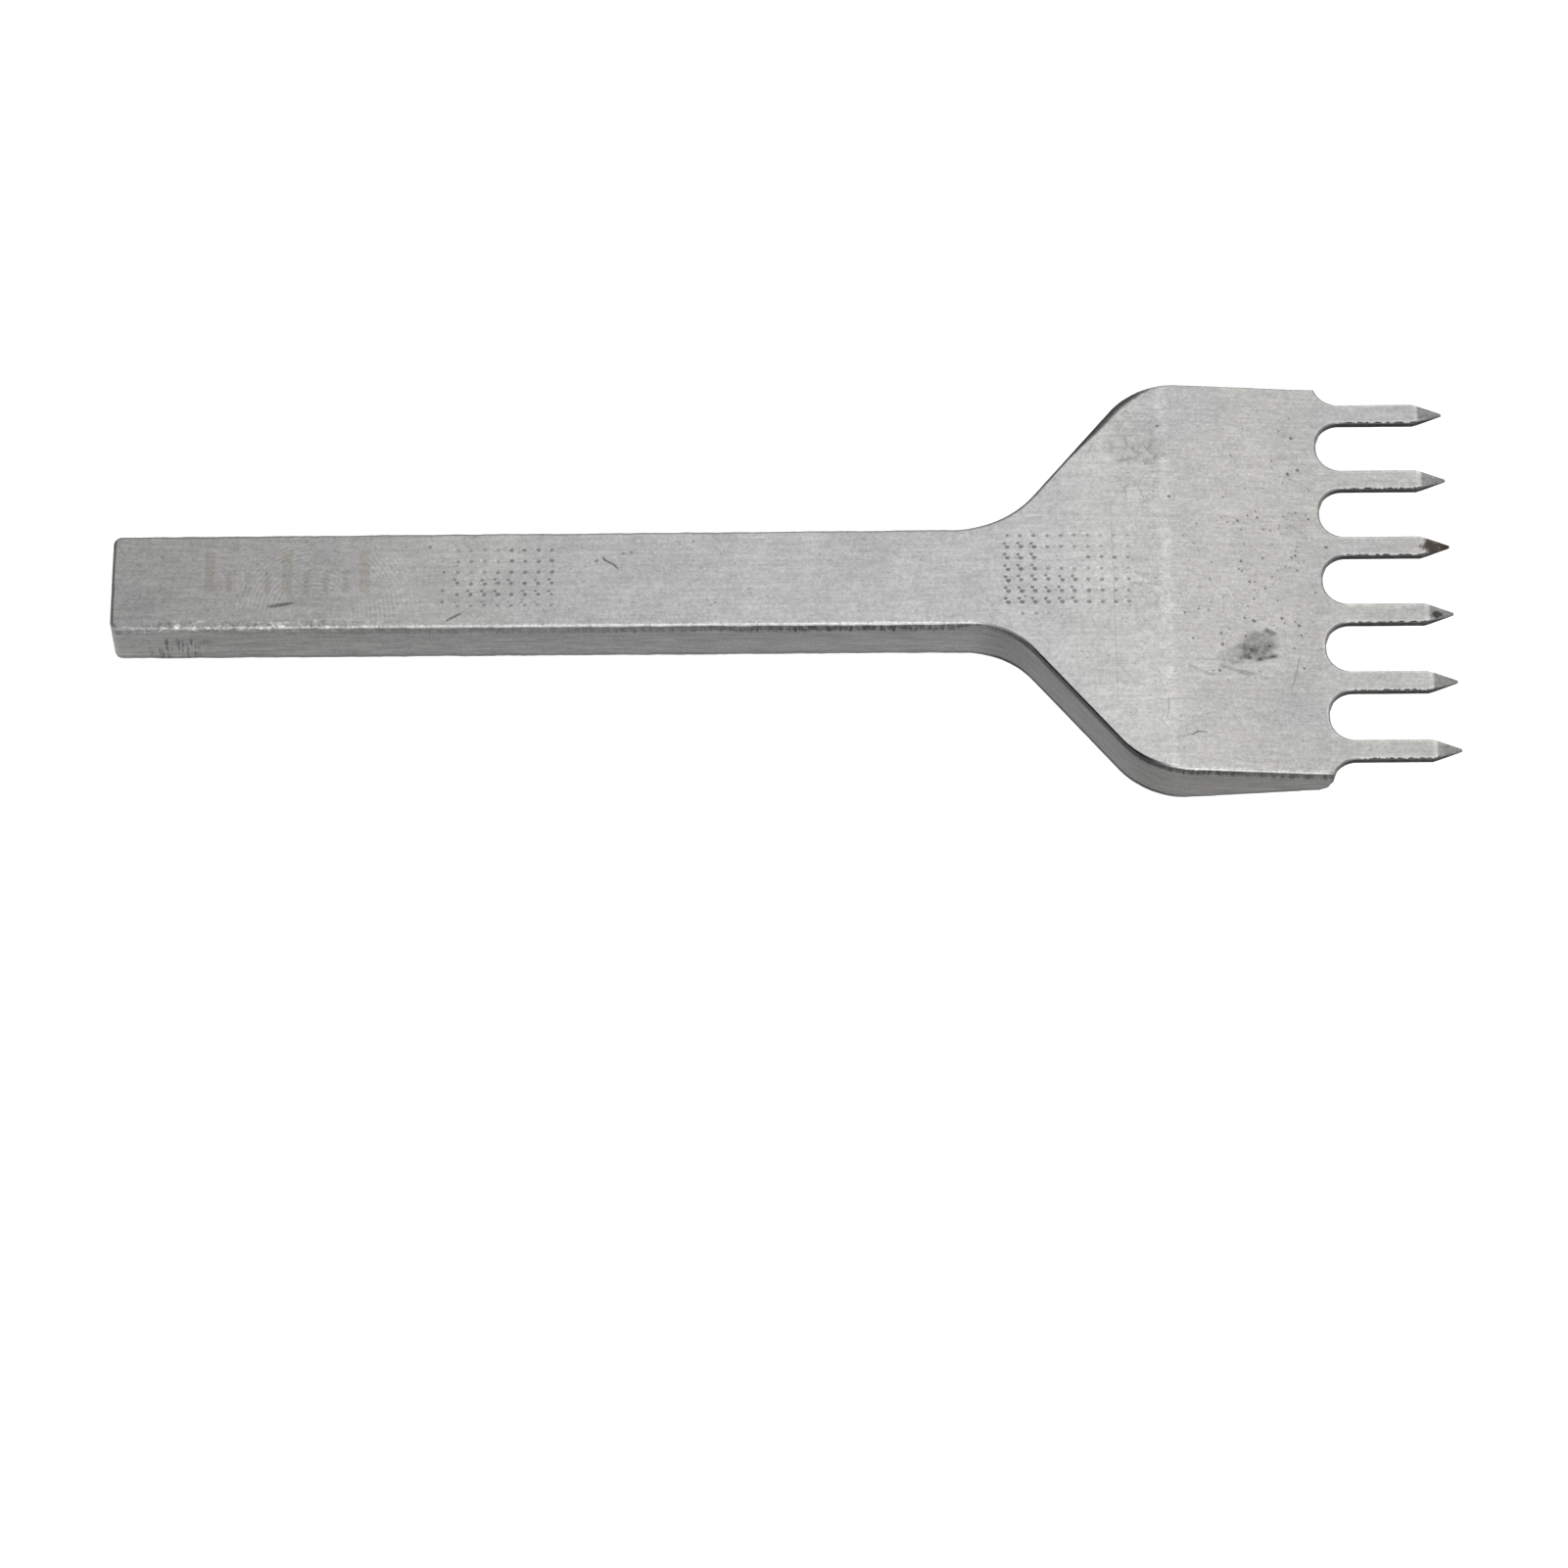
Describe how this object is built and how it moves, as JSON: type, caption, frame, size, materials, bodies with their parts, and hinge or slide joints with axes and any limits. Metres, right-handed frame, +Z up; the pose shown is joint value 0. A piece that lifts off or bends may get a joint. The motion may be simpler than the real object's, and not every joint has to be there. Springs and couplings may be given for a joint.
{
  "type": "pricking iron",
  "caption": "Steel leather pricking iron lying flat: straight struck shank, flared shoulder, ground blade and a row of slim pointed teeth at 6 mm pitch.",
  "frame": {"origin": "centre of the ground that the iron lies on, under the middle of its overall length and of its row of teeth", "axes": "+X from the struck end to the points, +Y across the row of teeth towards tooth_1, +Z up, out of the front face"},
  "size_m": [0.1038, 0.0346, 0.005],
  "materials": {
    "brushed_steel": "satin, finely brushed along the bar, with small pits and scratches",
    "ground_steel": "satin, ground smooth, with faint cross grinding and small pits",
    "tooth_steel": "satin prongs with darker ground points"
  },
  "bodies": {
    "root": {"shank": "brushed_steel", "shoulder": "brushed_steel", "blade": "ground_steel", "tooth_1": "tooth_steel", "tooth_2": "tooth_steel", "tooth_3": "tooth_steel", "tooth_4": "tooth_steel", "tooth_5": "tooth_steel", "tooth_6": "tooth_steel"}
  },
  "joints": []
}
